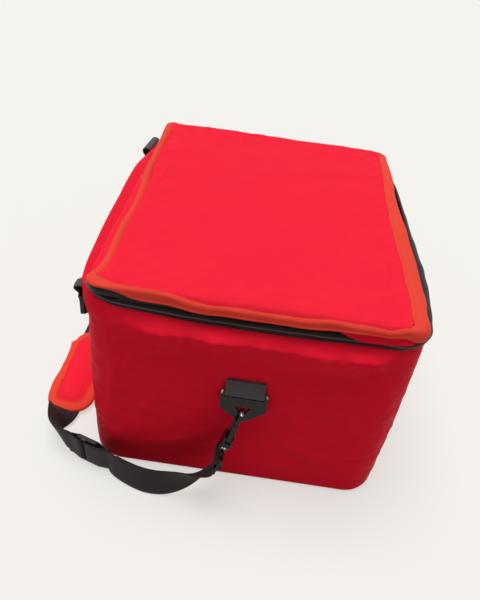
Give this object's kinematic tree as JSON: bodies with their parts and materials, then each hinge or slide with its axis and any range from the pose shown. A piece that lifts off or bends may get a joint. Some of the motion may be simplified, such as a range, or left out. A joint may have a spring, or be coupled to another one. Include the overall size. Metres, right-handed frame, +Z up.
{
  "type": "soft vaccine carrier",
  "caption": "Soft insulated carrier bag with zipped lid, foam walls, foil liner, coolant packs, hanging ring plates, snap hooks and a padded shoulder strap",
  "frame": {"origin": "centre of the base on the ground", "axes": "+Z up, the long sides along Y, the lid hinged along the -X side, the short face with the strap hook towards -Y at the front"},
  "size_m": [0.418, 0.4978, 0.258],
  "materials": {
    "cover_fabric": "coated woven nylon, satin",
    "hinge_fabric": "coated woven nylon, satin",
    "stiffener": "hollow plastic board",
    "insulation_foam": "closed-cell polyethylene foam",
    "foil_liner": "aluminised laminate",
    "top_fabric": "coated woven nylon, satin",
    "binding_fabric": "folded woven tape",
    "zip_tape": "woven polyester tape",
    "zip_coil": "nylon coil",
    "zip_metal": "black enamelled zinc",
    "webbing": "polypropylene webbing",
    "black_metal": "black enamelled steel with bright worn edges",
    "pack_plastic": "translucent blow-moulded polyethylene",
    "cap_plastic": "moulded polypropylene"
  },
  "bodies": {
    "bag": {"base_panel": "cover_fabric", "cover_walls": "cover_fabric", "base_board": "stiffener", "foam_base": "insulation_foam", "foam_front": "insulation_foam", "foam_back": "insulation_foam", "foam_left": "insulation_foam", "foam_right": "insulation_foam", "liner": "foil_liner", "rim_facing": "zip_tape", "zip_tape_body": "zip_tape", "zip_coil_body": "zip_coil", "zip_end_stops": "zip_coil", "hinge_welt": "hinge_fabric", "hinge_flap": "hinge_fabric", "ring_tab_front": "webbing", "ring_tab_back": "webbing", "ring_tab_left_front": "webbing", "ring_tab_left_back": "webbing", "ice_pack_front": "pack_plastic", "ice_pack_back": "pack_plastic", "ice_pack_left": "pack_plastic", "ice_pack_right": "pack_plastic", "ice_pack_caps": "cap_plastic", "pad_core": "top_fabric", "pad_binding": "binding_fabric", "tri_glide": "black_metal", "strap_web_pad": "webbing", "strap_web_front": "webbing", "strap_web_back": "webbing"},
    "lid": {"lid_panel": "top_fabric", "lid_board": "stiffener", "lid_foam": "insulation_foam", "lid_liner": "foil_liner", "lid_binding": "binding_fabric", "zip_tape_lid": "zip_tape", "zip_coil_lid": "zip_coil"},
    "slider": {"zip_slider": "zip_metal"},
    "pull": {"zip_pull": "zip_metal"},
    "left_front_ring": {"ring_left_front": "black_metal"},
    "left_back_ring": {"ring_left_back": "black_metal"},
    "front_hanger": {"ring_front": "black_metal", "hook_front_body": "black_metal", "hook_front_swivel": "black_metal"},
    "back_hanger": {"ring_back": "black_metal", "hook_back_body": "black_metal", "hook_back_swivel": "black_metal"},
    "front_gate": {"hook_front_gate": "black_metal"},
    "back_gate": {"hook_back_gate": "black_metal"}
  },
  "joints": [
    {"name": "lid_hinge", "type": "hinge", "parent": "bag", "child": "lid", "pos_m": [-0.16, 0, 0.2462], "axis": [0, -1, 0], "range_deg": [0, 110]},
    {"name": "zip_slide", "type": "slide", "parent": "bag", "child": "slider", "axis": [1, 0, 0], "range_m": [0, 0.242]},
    {"name": "zip_pull_swing", "type": "hinge", "parent": "slider", "child": "pull", "pos_m": [-0.1212, 0.1983, 0.243], "axis": [1, 0, 0], "range_deg": [0, 150]},
    {"name": "ring_left_front_swing", "type": "hinge", "parent": "bag", "child": "left_front_ring", "pos_m": [-0.17206, -0.15248, 0.219], "axis": [-0.1091, 0.994, 0], "range_deg": [0, 110]},
    {"name": "ring_left_back_swing", "type": "hinge", "parent": "bag", "child": "left_back_ring", "pos_m": [-0.17206, 0.15248, 0.219], "axis": [0.1091, 0.994, 0], "range_deg": [0, 110]},
    {"name": "front_ring_swing", "type": "hinge", "parent": "bag", "child": "front_hanger", "pos_m": [0, -0.2014, 0.148], "axis": [-1, 0, 0], "range_deg": [0, 35], "deforming": ["strap_web_front"]},
    {"name": "back_ring_swing", "type": "hinge", "parent": "bag", "child": "back_hanger", "pos_m": [0, 0.2014, 0.148], "axis": [1, 0, 0], "range_deg": [0, 35], "deforming": ["strap_web_back"]},
    {"name": "hook_front_gate_swing", "type": "hinge", "parent": "front_hanger", "child": "front_gate", "pos_m": [-0.00972, -0.22345, 0.09907], "axis": [-0.9536, 0.0728, 0.292], "range_deg": [0, 25], "stiffness_Nm_per_rad": 0.05, "springref_deg": -20.05},
    {"name": "hook_back_gate_swing", "type": "hinge", "parent": "back_hanger", "child": "back_gate", "pos_m": [-0.00972, 0.22345, 0.09907], "axis": [0.9536, 0.0728, -0.292], "range_deg": [0, 25], "stiffness_Nm_per_rad": 0.05, "springref_deg": -20.05}
  ]
}
